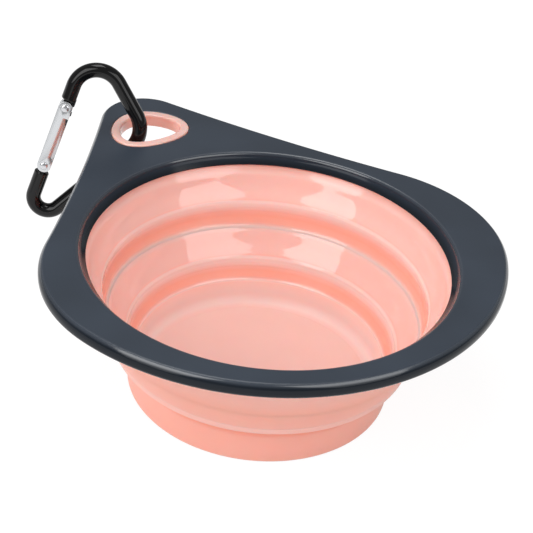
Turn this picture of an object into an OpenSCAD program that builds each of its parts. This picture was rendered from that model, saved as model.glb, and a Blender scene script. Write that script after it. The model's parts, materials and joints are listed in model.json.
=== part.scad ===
// Collapsible travel bowl: a stiff rim plate with a corner tab and eyelet, a folding soft bowl
// hung inside it, and a spring-gated clip hooked round the tab.
// Millimetres. The base stands on Z = 0, the bowl's axis is Z and the tab points along +Y.

/* [Bowl] */
// Radius of the opening at the top edge of the rim
opening_r = 60; // [54:0.5:68]
// Height of the rim's flat top above the table
bowl_height = 50.5; // [46:0.5:58]
// Height of the seam between rim and soft wall, below the rim top
seam_drop = 3.6; // [3:0.1:4.2]
// How far the seam stands inside the opening
seam_inset = 1.2; // [0.6:0.1:2]
// How far the upper band narrows down to its lower end
upper_inset = 6.3; // [5:0.1:8]
// Step inwards across each fold
fold_inset = 2.2; // [1.8:0.1:3]
// How far the middle band narrows down to its lower end
middle_inset = 6.1; // [4.5:0.1:7]
// Step inwards across the lower fold
low_fold_inset = 3.4; // [2.8:0.1:4.2]
// How far the lowest band narrows down to the floor
base_inset = 1.3; // [0.5:0.1:2.5]
// Level of the upper band's lower end, as a share of the height
upper_low_share = 0.693; // [0.67:0.005:0.72]
// Level of the middle band's top, as a share of the height
middle_top_share = 0.515; // [0.5:0.005:0.54]
// Level of the middle band's lower end, as a share of the height
middle_low_share = 0.35; // [0.33:0.005:0.38]
// Level of the lowest band's top, as a share of the height
base_top_share = 0.208; // [0.18:0.005:0.23]

/* [Soft walls] */
// Level thickness of the upper band
upper_wall_t = 2.6; // [2:0.1:3.2]
// Thickness of the floor
floor_t = 2; // [1.5:0.1:3]
// Level thickness of the thin web in each fold
fold_web_t = 1.6; // [1.2:0.1:1.8]
// Free space between bands that nest when folded
nest_gap = 0.4; // [0.35:0.05:0.6]
// Width of the collar under the rim
collar_w = 4.6; // [3.8:0.1:5.4]
// Depth of the collar under the rim
collar_t = 2.4; // [1.8:0.1:3]
// Extra thickness at the lower corner of the middle band
middle_foot = 1.6; // [1:0.1:2.2]
// Roundness of the base's lower edge
base_edge_r = 1; // [0.5:0.1:1.6]

/* [Rim] */
// Thickness of the rim plate at its edge
rim_edge_t = 4.5; // [4.3:0.1:6]
// Width of the rim at the side away from the tab
front_w = 8.7; // [7.5:0.1:11]
// How far the rim reaches past the opening at each wing
wing_reach = 16.3; // [13.5:0.1:19]
// Place of each wing's curve, across
wing_x = 27; // [23:0.5:30]
// Place of each wing's curve, along the tab's line
wing_y = -2.6; // [-6:0.2:0]
// Shift of wings and front across the bowl's axis
wing_shift = 1.9; // [0:0.1:2.5]
// Turn of wings and front about the bowl's axis, away from the tab's line
wing_lean = -6.5; // [-8:0.5:0]
// Distance from the opening's edge to the centre of the tab's end
tab_reach = 30; // [29:0.2:34]
// Shift of the tab across the bowl's axis
tab_shift = -1.2; // [-2:0.1:0]
// Radius of the tab's end
tab_r = 16; // [15.6:0.2:19]
// Radius of the hollow flank between tab and wing
flank_r = 680; // [480:20:900]
// Roundness of the rim's upper outer edge
edge_top_r = 2; // [1.4:0.1:2.4]
// Roundness of the rim's lower outer edge
edge_low_r = 1.5; // [0.8:0.1:1.8]
// Roundness of the edge round the opening
opening_edge_r = 1; // [0.5:0.1:1.5]

/* [Eyelet] */
// Half width between the centres of the eyelet's two near corners
eyelet_half_w = 7.35; // [6.8:0.05:7.8]
// Radius of the liner's near corners
eyelet_near_r = 6.7; // [6.5:0.1:7.2]
// Radius of the liner's far corner
eyelet_far_r = 9.6; // [9:0.1:10.2]
// Distance along the tab between near and far corners
eyelet_run = 4.8; // [4.4:0.2:5.6]
// Wall of the soft eyelet liner
liner_wall = 3.2; // [2.6:0.1:3.6]
// How far the liner stands proud of the rim
liner_proud = 0.25; // [0.1:0.05:0.4]
// Distance of the near corners from the centre of the tab's end, towards the bowl
eyelet_back = 9.2; // [8.8:0.2:9.8]
// Shift of the eyelet across the tab
eyelet_shift = -3.4; // [-4:0.2:-2.6]
// Turn of the eyelet in the tab
eyelet_turn = 6; // [3:1:9]

/* [Clip] */
// Diameter of the clip's rod
rod_d = 4.8; // [4.4:0.1:5]
// Bend radius of the broad end
top_bend_r = 8.6; // [8:0.2:9.4]
// Bend radius of the corner that hooks through the eyelet
hook_bend_r = 10.2; // [9.6:0.2:10.8]
// Bend radius of the narrow end
low_bend_r = 5; // [4.6:0.2:5.6]
// Length of the back, between its two bends
back_span = 34.5; // [33.5:0.5:37]
// Distance of the broad end's bend from the hook's bend, across the back
top_across = 11.8; // [11.2:0.1:12.6]
// Distance of the broad end's bend from the hook's bend, along the back
top_along = 4.3; // [3.6:0.1:5]
// Tilt of the back from upright, in the clip's own plane
back_tilt = 45.3; // [43:0.1:47]
// Turn of the clip's plane about the upright axis
clip_turn = -30; // [-36:1:-24]
// Lean of the clip's plane
clip_lean = 12; // [9:1:15]
// Distance from the clip's pivot to the back's axis
back_clear = 7.3; // [7.2:0.05:7.5]
// Distance of the hook's bend from the clip's pivot, along the back
hook_along = 0.77; // [0.5:0.01:1]
// Distance of the clip's pivot from the edge of the eyelet, in the tab's web
pivot_out = 3.6; // [3.5:0.05:3.8]
// Direction from the eyelet's corner to the clip's pivot
pivot_turn = 133.6; // [131:0.2:136]
// Height of the clip's pivot above the middle of the rim
pivot_rise = 0.98; // [0.9:0.02:1.1]

/* [Gate] */
// Place of the hinge along the gate's side, as a share
hinge_share = 0.27; // [0.255:0.005:0.29]
// Place of the latch pin along the gate's side, as a share
latch_share = 0.805; // [0.79:0.005:0.82]
// Width of the gate's folded channel
gate_w = 4.8; // [4.6:0.1:5.2]
// Depth of the gate's folded channel
gate_depth = 4.8; // [4.7:0.1:5.2]
// Sheet thickness of the gate
gate_sheet = 0.6; // [0.5:0.05:0.65]
// Thickness of the flat tongues at the rod's two ends
tongue_t = 2.6; // [2.2:0.1:2.8]
// Share of the gate's width that its cheeks keep flat, before they fold in
cheek_flat_share = 0.53; // [0.48:0.01:0.58]
// Share of the gate's depth that its back keeps flat
back_flat_share = 0.42; // [0.36:0.02:0.5]
// Radius of the rivet shanks
rivet_r = 0.8; // [0.7:0.05:0.9]
// Radius of the rivet heads
rivet_head_r = 1.4; // [1.2:0.05:1.6]
// Height of the rivet heads
rivet_head_t = 0.55; // [0.4:0.05:0.8]
// Radius of the small plunger in the gate
plunger_r = 1; // [0.9:0.05:1.1]
// Wire diameter of the spring in the gate
spring_wire = 0.35; // [0.3:0.05:0.4]

/* [Hidden] */
$fn = 96;

// Overrun of every cut, so that no cut ends on a face
over = 1;
// Free space between parts that move past each other
move_gap = 0.35;
// Extra width of the nose's slot on the hinge side, where the latch pin swings out
slot_ease = 0.3;
// Running clearance of a rivet in its hole
rivet_gap = 0.05;
// Gap left between two curved lengths, which the collar over their joint fills
joint_gap = 0.05;
// How far such a collar stands proud, too little to see
joint_proud = 0.02;
// How far the rim's flat middle stands below its edge, too little to see
core_drop = 0.04;
// Half length of such a collar
joint_half = 0.4;
half_share = 0.5;
bulge_share = 0.25;

rim_top = bowl_height;
rim_low = bowl_height - rim_edge_t;
seam_z = bowl_height - seam_drop;
seam_r = opening_r - seam_inset;
collar_r = seam_r + collar_w;
collar_low = seam_z - collar_t;
upper_low_r = seam_r - upper_inset;
upper_low_z = bowl_height * upper_low_share;
upper_slope = upper_inset / (seam_z - upper_low_z);
upper_out_r = upper_low_r + upper_wall_t;
under_collar_r = seam_r - upper_slope * collar_t + upper_wall_t;
middle_top_r = upper_low_r - fold_inset;
middle_top_z = bowl_height * middle_top_share;
middle_out_r = upper_low_r - nest_gap;
middle_low_r = middle_top_r - middle_inset;
middle_low_z = bowl_height * middle_low_share;
middle_foot_r = middle_low_r + low_fold_inset - nest_gap;
middle_foot_z = middle_low_z - middle_foot;
base_top_r = middle_low_r - low_fold_inset;
base_top_z = bowl_height * base_top_share;
base_out_r = middle_low_r - nest_gap;
floor_r = base_top_r - base_inset;
foot_r = base_out_r - base_inset;

// The rim's outline: tangent arcs round the tab, along the flanks, round the wings and the front
bead_share = 0.72;
bead_w = front_w * bead_share;
core_in = bead_w * bead_share;
core_t = rim_edge_t + core_drop;
tab_c = [tab_shift, opening_r + tab_reach];
wing_r = opening_r + wing_reach - wing_x;
front_reach = opening_r + front_w;
front_gap = front_reach - wing_r;
front_sq = wing_x * wing_x + wing_y * wing_y - front_gap * front_gap;
front_up = front_sq / (2 * (front_gap + wing_y));
front_r = front_up + front_reach;
wing_across = unit(wing_lean);
wing_along = [-wing_across[1], wing_across[0]];
front_c = wing_across * wing_shift + wing_along * front_up;
// The same centres for the right side and, mirrored to the right, for the left side
sides = [1, -1];
tab_cs = [for (s = sides) to_right(tab_c, s)];
wing_cs = [for (s = sides) to_right(wing_across * (wing_shift + s * wing_x) + wing_along * wing_y, s)];
front_cs = [for (s = sides) to_right(front_c, s)];
flank_cs = [for (i = [0, 1]) flank_of(tab_cs[i], wing_cs[i])];
tab_turns = [for (i = [0, 1]) turn_of(flank_cs[i] - tab_cs[i])];
wing_turns = [for (i = [0, 1]) turn_of(flank_cs[i] - wing_cs[i])];
front_turns = [for (i = [0, 1]) turn_of(wing_cs[i] - front_cs[i])];

// The eyelet's three corners
eyelet_c = [eyelet_shift, tab_c[1] - eyelet_back];
eyelet_across = unit(eyelet_turn);
eyelet_along = [-eyelet_across[1], eyelet_across[0]];
eyelet_corners = [eyelet_c + eyelet_across * eyelet_half_w, eyelet_c - eyelet_across * eyelet_half_w,
    eyelet_c + eyelet_along * eyelet_run];
liner_top = rim_top + liner_proud;
liner_low = rim_low + liner_proud;

// The clip's centre line runs round three bends, past the tab's web beside the eyelet
rod_r = rod_d / 2;
back_dir = [sin(back_tilt), cos(back_tilt)];
back_out = [cos(back_tilt), -sin(back_tilt)];
hook_c = back_out * (back_clear - hook_bend_r) + back_dir * hook_along;
low_c = hook_c - back_dir * back_span + back_out * (hook_bend_r - low_bend_r);
top_c = hook_c - back_out * top_across + back_dir * top_along;
gate_n = belt_turn(low_c, low_bend_r, top_c, top_bend_r);
arm_n = belt_turn(top_c, top_bend_r, hook_c, hook_bend_r);
back_n = belt_turn(hook_c, hook_bend_r, low_c, low_bend_r);
gate_from = low_c + low_bend_r * unit(gate_n);
gate_to = top_c + top_bend_r * unit(gate_n);
gate_side = norm(gate_to - gate_from);
gate_turn = turn_of(gate_to - gate_from);
hinge_at = gate_side * hinge_share;
latch_at = gate_side * latch_share - hinge_at;
gate_end_r = gate_w / 2;
gate_top = latch_at + gate_end_r;
shoulder_low = -gate_end_r - move_gap;
shoulder_top = gate_top + move_gap;
side_top = gate_side - hinge_at;
cheek_half = gate_depth / 2;
cheek_in = cheek_half - gate_sheet;
tongue_half = tongue_t / 2;
tongue_r = gate_end_r - gate_sheet - move_gap;
web_from_share = 2.2;
web_to_share = 1.5;
nose_share = 3;
web_from = tongue_r * web_from_share;
web_to = latch_at - gate_end_r * web_to_share;
nose_low = latch_at - rivet_r * nose_share;
nose_side = gate_end_r + move_gap;
stop_t = gate_sheet;
plunger_from = tongue_r + move_gap;
plunger_share = 2.6;
plunger_l = plunger_r * plunger_share;
spring_from = plunger_from + plunger_l;
spring_to = web_to - stop_t;
spring_r = plunger_r;
spring_in_r = spring_r - spring_wire;
spring_l = spring_to - spring_from;
pivot_at = eyelet_corners[1] + (eyelet_near_r - liner_wall + pivot_out) * unit(pivot_turn);
clip_c = [pivot_at[0], pivot_at[1], (rim_top + rim_low) / 2 + pivot_rise];

// The gate's channel: flat cheeks that fold in to a narrower back
fold_y = gate_end_r - gate_w * cheek_flat_share;
fold_z = cheek_half * back_flat_share;
fold_run = [gate_end_r + fold_y, cheek_half - fold_z];
fold_n = [-fold_run[1], fold_run[0]] / norm(fold_run);
fold_d = fold_n * [fold_y, cheek_half];

// Angle of a flat vector
function turn_of(v) = atan2(v[1], v[0]);
// Flat unit vector at an angle
function unit(a) = [cos(a), sin(a)];
// Direction from circle a's centre to the tangent on the left of the way to circle b
function belt_turn(ca, ra, cb, rb) = turn_of(cb - ca) + acos((ra - rb) / norm(cb - ca));

// The two fold corners of the gate's channel, drawn in by a margin
function fold_pair(m) = [[(fold_d - m - fold_n[1] * (cheek_half - m)) / fold_n[0], cheek_half - m],
    [m - gate_end_r, (fold_d - m - fold_n[0] * (m - gate_end_r)) / fold_n[1]]];
// One half of the channel's outline, from its open edge to its back
function channel_half(edge, m) = [[edge, cheek_half - m], fold_pair(m)[0], fold_pair(m)[1]];
// Points in the opposite order on the other side of the channel
function across_channel(v) = [for (i = [len(v) - 1:-1:0]) [v[i][0], -v[i][1]]];
function backwards(v) = [for (i = [len(v) - 1:-1:0]) v[i]];

// A point of one side, mirrored to the right where the side is the left one
function to_right(p, s) = [s * p[0], p[1]];

// Centre of the hollow arc that touches the tab's end and a wing
function flank_of(tab, wing) =
    let (way = wing - tab, l = norm(way), dir = way / l,
        to_tab = tab_r + flank_r, to_wing = wing_r + flank_r,
        a = ((to_tab * to_tab - to_wing * to_wing) / l + l) / 2,
        h = sqrt(to_tab * to_tab - a * a))
    tab + dir * a + [-dir[1], dir[0]] * h;

// Angle that a length covers on an arc
function arc_deg(l, r) = l / r * 180 / PI;

// Solid round three upright circles, with flat sides between them
module belt(c, r, z, h) {
    n = [for (i = [0:2]) belt_turn(c[i], r[i], c[(i + 1) % 3], r[(i + 1) % 3])];
    translate([0, 0, z]) {
        for (i = [0:2])
            translate(c[i])
                cylinder(h, r[i], r[i]);
        linear_extrude(h)
            polygon([for (i = [0:2]) for (k = [0, 1])
                c[(i + k) % 3] + (r[(i + k) % 3] - joint_proud) * unit(n[i])]);
    }
}

// The eyelet's outline as a solid, drawn in by a margin
module eyelet_shape(margin, z, h) {
    belt(eyelet_corners, [eyelet_near_r - margin, eyelet_near_r - margin, eyelet_far_r - margin], z, h);
}

// Section of the rim's rounded outer edge, its outermost point at x = 0 and its top at y = 0
module edge_section(grow) {
    r_top = edge_top_r + grow;
    r_low = edge_low_r + grow;
    low = -rim_edge_t - grow;
    difference() {
        translate([-bead_w, low])
            square([bead_w + grow, rim_edge_t + 2 * grow]);
        difference() {
            translate([grow - r_top, grow - r_top])
                square(r_top + over);
            translate([grow - r_top, grow - r_top])
                circle(r_top);
        }
        difference() {
            translate([grow - r_low, low - over])
                square(r_low + over);
            translate([grow - r_low, low + r_low])
                circle(r_low);
        }
    }
}

// Rounded edge along an arc that bulges outwards
module edge_arc(c, r, from, sweep) {
    gap = arc_deg(joint_gap, r);
    translate([c[0], c[1], rim_top])
        rotate([0, 0, from + gap])
            rotate_extrude(angle = sweep - 2 * gap)
                translate([r, 0])
                    edge_section(0);
}

// Rounded edge along an arc that is hollow
module hollow_arc(c, r, from, sweep) {
    gap = arc_deg(joint_gap, r);
    translate([c[0], c[1], rim_top])
        rotate([0, 0, from + gap])
            rotate_extrude(angle = sweep - 2 * gap)
                translate([r, 0])
                    mirror([1, 0])
                        edge_section(0);
}

// Short length of edge over the joint of two arcs
module edge_joint(c, r, at) {
    translate([c[0], c[1], rim_top])
        rotate([0, 0, at])
            translate([r, joint_half, 0])
                rotate([90, 0, 0])
                    linear_extrude(2 * joint_half)
                        edge_section(joint_proud);
}

// Flat middle of the rim, drawn in from the outline
module rim_core() {
    far = front_r * 2;
    deep = core_in + joint_half;
    inner = [for (i = [0, 1]) [tab_cs[i] + (tab_r - deep) * unit(tab_turns[i]),
        wing_cs[i] + (wing_r - deep) * unit(wing_turns[i]), wing_cs[i]]];
    left = [for (k = [2:-1:0]) to_right(inner[1][k], sides[1])];
    translate([0, 0, rim_low - core_drop]) {
        translate(tab_c)
            cylinder(core_t, tab_r - core_in, tab_r - core_in);
        for (i = [0, 1])
            translate(to_right(wing_cs[i], sides[i]))
                cylinder(core_t, wing_r - core_in, wing_r - core_in);
        linear_extrude(core_t)
            polygon(concat(inner[0], left));
        intersection() {
            translate(front_c)
                cylinder(core_t, front_r - deep, front_r - deep);
            linear_extrude(core_t)
                polygon([front_c, front_c + far * unit(front_turns[0]), front_c - [0, far * 2],
                    front_c + far * unit(180 - front_turns[1])]);
        }
    }
}

// One side's flank, wing and their joints
module rim_side(i) {
    from = turn_of(tab_cs[i] - flank_cs[i]);
    edge_arc(wing_cs[i], wing_r, front_turns[i], wing_turns[i] - front_turns[i]);
    hollow_arc(flank_cs[i], flank_r, from, (turn_of(wing_cs[i] - flank_cs[i]) - from + 360) % 360);
    edge_joint(tab_cs[i], tab_r, tab_turns[i]);
    edge_joint(wing_cs[i], wing_r, wing_turns[i]);
    edge_joint(wing_cs[i], wing_r, front_turns[i]);
}

// A flat section turned round the bowl's axis
module ring(points) {
    rotate_extrude()
        polygon(points);
}

// Stiff rim plate with its tab
module rim_frame() {
    color("#4a525c")
        difference() {
            union() {
                rim_core();
                edge_arc(tab_c, tab_r, tab_turns[0], 180 - tab_turns[0] - tab_turns[1]);
                edge_arc(front_c, front_r, 180 - front_turns[1], 180 + front_turns[0] + front_turns[1]);
                rim_side(0);
                mirror([1, 0, 0])
                    rim_side(1);
            }
            // opening, with a rounded upper edge and a wall that closes in to the seam
            ring([[0, rim_low - over], [seam_r, rim_low - over], [seam_r, seam_z],
                [opening_r, rim_top - opening_edge_r], [opening_r, rim_top + over],
                [0, rim_top + over]]);
            rotate_extrude()
                difference() {
                    translate([opening_r - over, rim_top - opening_edge_r])
                        square([opening_edge_r + over, opening_edge_r + over]);
                    translate([opening_r + opening_edge_r, rim_top - opening_edge_r])
                        circle(opening_edge_r);
                }
            // seat of the soft collar
            ring([[0, rim_low - over], [collar_r, rim_low - over], [collar_r, seam_z], [0, seam_z]]);
            eyelet_shape(0, rim_low - over, rim_edge_t + 2 * over);
        }
}

// Soft liner of the eyelet
module eyelet_liner() {
    color("#f6b3a3")
        difference() {
            eyelet_shape(0, liner_low, liner_top - liner_low);
            eyelet_shape(liner_wall, liner_low - over, liner_top - liner_low + 2 * over);
        }
}

// Upper band of the soft bowl, with the collar under the rim
module upper_wall() {
    color("#f9b9aa")
        ring([[upper_low_r, upper_low_z], [upper_out_r, upper_low_z], [under_collar_r, collar_low],
            [collar_r, collar_low], [collar_r, seam_z], [seam_r, seam_z]]);
}

// Upper fold, thinned by a hollow inside
module upper_fold() {
    mid_z = (upper_low_z + middle_top_z) * half_share;
    mid_r = upper_out_r - fold_inset * bulge_share;
    color("#f5a18b")
        ring([[middle_top_r, middle_top_z], [middle_out_r, middle_top_z], [mid_r, mid_z],
            [upper_out_r, upper_low_z], [upper_low_r, upper_low_z], [mid_r - fold_web_t, mid_z]]);
}

// Middle band of the soft bowl
module middle_wall() {
    color("#f7b09f")
        ring([[middle_top_r, middle_top_z], [middle_low_r, middle_low_z], [middle_foot_r, middle_foot_z],
            [middle_out_r, middle_top_z]]);
}

// Lower fold, thinned by a hollow outside
module lower_fold() {
    mid_z = (middle_foot_z + base_top_z) * half_share;
    color("#f5a18b")
        ring([[base_top_r, base_top_z], [base_out_r, base_top_z], [base_out_r, mid_z],
            [middle_foot_r, middle_foot_z], [middle_low_r, middle_low_z],
            [base_out_r - fold_web_t, mid_z]]);
}

// Lowest band of the soft bowl with its floor
module base_cup() {
    color("#f9b9aa")
        difference() {
            ring([[0, 0], [foot_r, 0], [base_out_r, base_top_z], [base_top_r, base_top_z],
                [floor_r, floor_t], [0, floor_t]]);
            rotate_extrude()
                difference() {
                    translate([foot_r - base_edge_r, -over])
                        square([base_edge_r + over, base_edge_r + over]);
                    translate([foot_r - base_edge_r, base_edge_r])
                        circle(base_edge_r);
                }
        }
}

// Puts the clip's own plane in place on the tab's web
module in_clip() {
    translate(clip_c)
        rotate([0, 0, clip_turn])
            rotate([90 - clip_lean, 0, 0])
                children();
}

// Puts the gate's own axes in place: x from the hinge to the latch, -y into the loop
module in_gate() {
    in_clip()
        translate(gate_from)
            rotate([0, 0, gate_turn])
                translate([hinge_at, 0, 0])
                    children();
}

// Round rod between two flat points of the clip's plane
module rod(from, to) {
    translate(from)
        rotate([0, 0, turn_of(to - from)])
            translate([joint_gap, 0, 0])
                rotate([0, 90, 0])
                    cylinder(norm(to - from) - 2 * joint_gap, rod_r, rod_r);
}

// Round rod round a bend, with a joint at each end
module bend(c, r, from, sweep) {
    gap = arc_deg(joint_gap, r);
    translate(c)
        rotate([0, 0, from + gap])
            rotate_extrude(angle = sweep - 2 * gap)
                translate([r, 0])
                    circle(rod_r);
    for (a = [from, from + sweep])
        translate(c + r * unit(a))
            rotate([90, 0, a])
                sphere(rod_r + joint_proud);
}

// Bent rod of the clip, with a flat tongue at each end
module carabiner_body() {
    color("#141518")
        difference() {
            union() {
                in_clip() {
                    bend(top_c, top_bend_r, arm_n, gate_n - arm_n);
                    rod(top_c + top_bend_r * unit(arm_n), hook_c + hook_bend_r * unit(arm_n));
                    bend(hook_c, hook_bend_r, back_n, arm_n - back_n);
                    rod(hook_c + hook_bend_r * unit(back_n), low_c + low_bend_r * unit(back_n));
                    bend(low_c, low_bend_r, gate_n, back_n - gate_n + 360);
                }
                in_gate() {
                    rod([-hinge_at, 0], [shoulder_low + joint_gap, 0]);
                    rod([shoulder_top - joint_gap, 0], [side_top, 0]);
                    translate([0, 0, -tongue_half])
                        cylinder(tongue_t, tongue_r, tongue_r);
                    translate([shoulder_low - over, -tongue_r, -tongue_half])
                        cube([over - shoulder_low, tongue_r * 2, tongue_t]);
                    translate([nose_low, -nose_side, -tongue_half])
                        cube([shoulder_top + over - nose_low, nose_side + tongue_r, tongue_t]);
                }
            }
            in_gate() {
                translate([0, 0, -tongue_t])
                    cylinder(tongue_t * 2, rivet_r + rivet_gap, rivet_r + rivet_gap);
                translate([latch_at, 0, -tongue_t])
                    cylinder(tongue_t * 2, rivet_r + move_gap, rivet_r + move_gap);
                translate([latch_at - rivet_r - move_gap - slot_ease, -nose_side - over, -tongue_t])
                    cube([(rivet_r + move_gap) * 2 + slot_ease, nose_side + over, tongue_t * 2]);
            }
        }
}

// Length of the gate's channel, from a flat outline across it
module channel(from, l, outline) {
    translate([from, 0, 0])
        rotate([90, 0, 90])
            linear_extrude(l)
                polygon(outline);
}

// Folded sheet gate: two cheeks, a folded back facing the loop, and the spring's stop
module carabiner_gate() {
    outer = channel_half(gate_end_r, 0);
    inner = channel_half(gate_end_r, gate_sheet);
    stop = channel_half(gate_end_r - gate_sheet, gate_sheet * half_share);
    color("#c9ccd0")
        in_gate()
            difference() {
                union() {
                    for (s = [0, 1])
                        mirror([0, 0, s])
                            translate([0, 0, cheek_in])
                                linear_extrude(gate_sheet) {
                                    circle(gate_end_r);
                                    translate([0, -gate_end_r])
                                        square([web_from, gate_w]);
                                    translate([web_to, -gate_end_r])
                                        square([latch_at - web_to, gate_w]);
                                    translate([latch_at, 0])
                                        circle(gate_end_r);
                                }
                    channel(web_from, web_to - web_from, concat(outer, across_channel(outer),
                        backwards(across_channel(inner)), backwards(inner)));
                    channel(web_to - stop_t, stop_t, concat(stop, across_channel(stop)));
                }
                for (x = [0, latch_at])
                    translate([x, 0, -gate_depth])
                        cylinder(gate_depth * 2, rivet_r, rivet_r);
            }
}

// A rivet through both cheeks with a low head on each
module rivet() {
    translate([0, 0, -cheek_half])
        cylinder(gate_depth, rivet_r, rivet_r);
    for (s = [0, 1])
        mirror([0, 0, s])
            translate([0, 0, cheek_half])
                cylinder(rivet_head_t, rivet_head_r, rivet_head_r - rivet_head_t);
}

// Rivet the gate turns on
module gate_hinge_rivet() {
    color("#d9dbde")
        in_gate()
            rivet();
}

// Pin at the gate's free end that drops into the nose
module gate_latch_pin() {
    color("#d9dbde")
        in_gate()
            translate([latch_at, 0, 0])
                rivet();
}

// Spring in the gate, shown as the tube its coil fills
module gate_spring() {
    color("#b8bcc2")
        in_gate()
            translate([spring_from, 0, 0])
                rotate([0, 90, 0])
                    difference() {
                        cylinder(spring_l, spring_r, spring_r);
                        translate([0, 0, -over])
                            cylinder(spring_l + 2 * over, spring_in_r, spring_in_r);
                    }
}

// Plunger the spring presses against the rod's tongue
module gate_plunger() {
    color("#b8bcc2")
        in_gate()
            translate([plunger_from, 0, 0])
                rotate([0, 90, 0])
                    cylinder(plunger_l, plunger_r, plunger_r);
}

rim_frame();
eyelet_liner();
upper_wall();
upper_fold();
middle_wall();
lower_fold();
base_cup();
carabiner_body();
carabiner_gate();
gate_hinge_rivet();
gate_latch_pin();
gate_spring();
gate_plunger();
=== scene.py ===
# %% [markdown]
# # Collapsible travel bowl
# A stiff rim plate with a corner tab, a soft bowl that folds flat in two steps, a lined eyelet and a
# spring-gated clip. The imported CAD part is the skeleton: the pieces of the rim and of the clip made here
# ride on its bodies, so the clip still swings and its gate still opens.

# %% Load the imported part
import json
import math

import bmesh
import bpy
import numpy as np
from mathutils import Matrix, Vector
from mathutils.geometry import delaunay_2d_cdt


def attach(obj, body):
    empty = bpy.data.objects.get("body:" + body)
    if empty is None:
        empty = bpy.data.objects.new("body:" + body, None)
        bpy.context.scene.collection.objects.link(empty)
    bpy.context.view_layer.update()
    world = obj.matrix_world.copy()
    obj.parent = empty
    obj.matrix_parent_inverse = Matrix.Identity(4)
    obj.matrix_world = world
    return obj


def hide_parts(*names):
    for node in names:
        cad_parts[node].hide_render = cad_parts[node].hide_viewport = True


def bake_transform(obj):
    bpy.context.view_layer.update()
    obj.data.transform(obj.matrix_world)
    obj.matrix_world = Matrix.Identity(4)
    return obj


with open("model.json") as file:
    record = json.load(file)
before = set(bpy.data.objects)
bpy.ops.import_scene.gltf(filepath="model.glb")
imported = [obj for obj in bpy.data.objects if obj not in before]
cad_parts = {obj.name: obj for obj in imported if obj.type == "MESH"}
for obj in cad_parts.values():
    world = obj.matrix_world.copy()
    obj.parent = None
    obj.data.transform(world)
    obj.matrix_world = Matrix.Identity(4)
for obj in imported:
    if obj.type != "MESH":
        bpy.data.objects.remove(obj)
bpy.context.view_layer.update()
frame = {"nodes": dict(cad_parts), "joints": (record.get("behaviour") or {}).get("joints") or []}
JOINTS = {j["name"]: j for j in frame["joints"]}
MM = 0.001

# %% [markdown]
# ## Camera
# The bowl's rings are true circles, so their ellipses in the photograph fix the lens, the height
# and the roll of the camera. The tab points 32 degrees to the left of the line away from it.

# %% Camera from the photograph's rings
SIDE_PX = 533
FOCAL_PX = 1600
ELEVATION, ROLL, TAB_TURN = (math.radians(a) for a in (34.239, -6.108, 32.05))
SHIFT_MM = Vector((-3.145, 36.373, 533.57))

forward = Vector((0, math.cos(ELEVATION), -math.sin(ELEVATION)))
across = Vector((1, 0, 0))
down = forward.cross(across)
right = across * math.cos(ROLL) + down * math.sin(ROLL)
below = down * math.cos(ROLL) - across * math.sin(ROLL)
to_part = Matrix.Rotation(-TAB_TURN, 3, "Z")
axes = Matrix((right, -below, -forward)).transposed()
eye = -(right * SHIFT_MM.x + below * SHIFT_MM.y + forward * SHIFT_MM.z)

camera = bpy.data.objects.new("camera", bpy.data.cameras.new("camera"))
bpy.context.scene.collection.objects.link(camera)
camera.matrix_world = Matrix.Translation(to_part @ eye * MM) @ (to_part @ axes).to_4x4()
camera.data.sensor_width = 36
camera.data.lens = FOCAL_PX / SIDE_PX * camera.data.sensor_width
camera.data.clip_start, camera.data.clip_end = 0.02, 20
bpy.context.scene.camera = camera
print("camera at", [round(x, 3) for x in camera.location], "lens", round(camera.data.lens, 1))

# %% [markdown]
# ## Small helpers
# One function adds a node, with its settings and links, to a material or a Geometry Nodes tree.
# Colours are written as sRGB hex and turned to the linear values that Blender works in.

# %% Helpers for nodes and colours
def linear(code):
    """sRGB hex to a linear colour with alpha."""
    parts = [int(code[i:i + 2], 16) / 255 for i in (1, 3, 5)]
    return [c / 12.92 if c <= 0.04045 else ((c + 0.055) / 1.055) ** 2.4 for c in parts] + [1.0]


def put(tree, kind, values=None, links=None):
    """Adds a node: settings by attribute name or socket, links as socket: (node, output)."""
    node = tree.nodes.new(kind)
    for key, value in (values or {}).items():
        if isinstance(key, str) and hasattr(node, key):
            setattr(node, key, value)
        else:
            node.inputs[key].default_value = value
    for key, (source, output) in (links or {}).items():
        tree.links.new(source.outputs[output], node.inputs[key])
    return node


def new_material(name):
    """An empty material and its tree of nodes."""
    material = bpy.data.materials.new(name)
    material.use_nodes = True
    material.node_tree.nodes.clear()
    return material, material.node_tree


print("mid grey #808080 is", round(linear("#808080")[0], 3), "in linear light")

# %% [markdown]
# ## Moulded rim plastic
# The rim is a polypropylene moulding in slate. The mould is spark-textured over the flat top, so that face
# scatters light, and polished round the edges. The colour carries painted shade: it is full on the flat top
# and darker down the edges, and the wall of the opening is painted darker towards its seam with the soft
# bowl. Height and distance from the bowl's axis tell these places apart, so no texture mask is needed.

# %% Slate plastic: colour with painted shade
RIM_TOP, RIM_LOW, OPEN_R = 50.5, 45.7, 60.0
slate, tree = new_material("moulded_polypropylene_slate")
place = put(tree, "ShaderNodeTexCoord")
cloud = put(tree, "ShaderNodeTexNoise", {"Scale": 1 / (30 * MM), "Detail": 2.0},
            {"Vector": (place, "Object")})
tint = put(tree, "ShaderNodeValToRGB", links={"Fac": (cloud, "Fac")})
tint.color_ramp.elements[0].position, tint.color_ramp.elements[0].color = 0.3, linear("#2C343F")
tint.color_ramp.elements[1].position, tint.color_ramp.elements[1].color = 0.7, linear("#333C48")
spot = put(tree, "ShaderNodeSeparateXYZ", links={"Vector": (place, "Object")})
# Painted shade: the colour darkens from the flat top to 0.3 of it down the edges.
side = put(tree, "ShaderNodeMapRange",
           {"From Min": (RIM_TOP - 1.2) * MM, "From Max": (RIM_TOP - 0.1) * MM,
            "To Min": 0.3, "To Max": 1.0}, {"Value": (spot, "Z")})
flat_spot = put(tree, "ShaderNodeCombineXYZ", links={"X": (spot, "X"), "Y": (spot, "Y")})
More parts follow.
